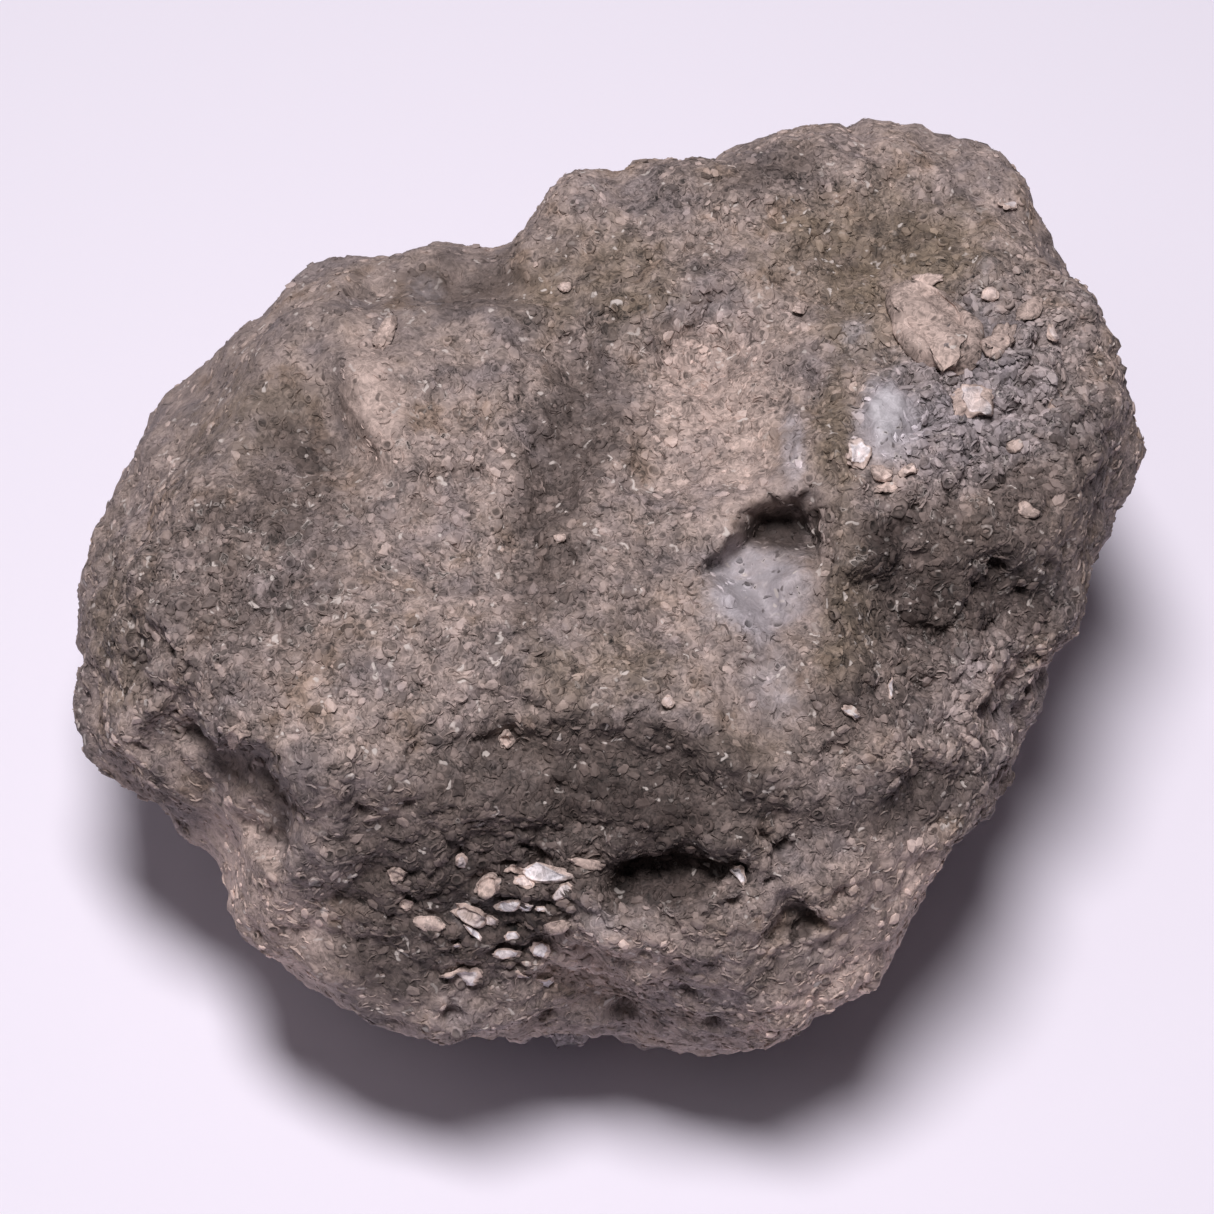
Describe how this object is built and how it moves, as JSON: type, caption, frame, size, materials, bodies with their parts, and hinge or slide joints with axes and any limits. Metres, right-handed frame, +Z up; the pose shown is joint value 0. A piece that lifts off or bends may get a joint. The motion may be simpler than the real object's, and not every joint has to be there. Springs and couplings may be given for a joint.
{
  "type": "impact glass",
  "caption": "Rough grey-brown lump of frothy impact glass with bubble pits, hollows and pale mineral scraps, lying on its flattest side.",
  "frame": {"origin": "middle of the stone's plan, on the surface that it rests on", "axes": "+Z up with the stone at rest, +X along its longer side, -Y towards the side whose lower slope shows its caves"},
  "size_m": [0.0486, 0.0434, 0.029],
  "materials": {
    "frothy_glass": "matt, granular and pitted, with pale mineral scraps"
  },
  "bodies": {
    "root": {"impact_glass": "frothy_glass"}
  },
  "joints": []
}
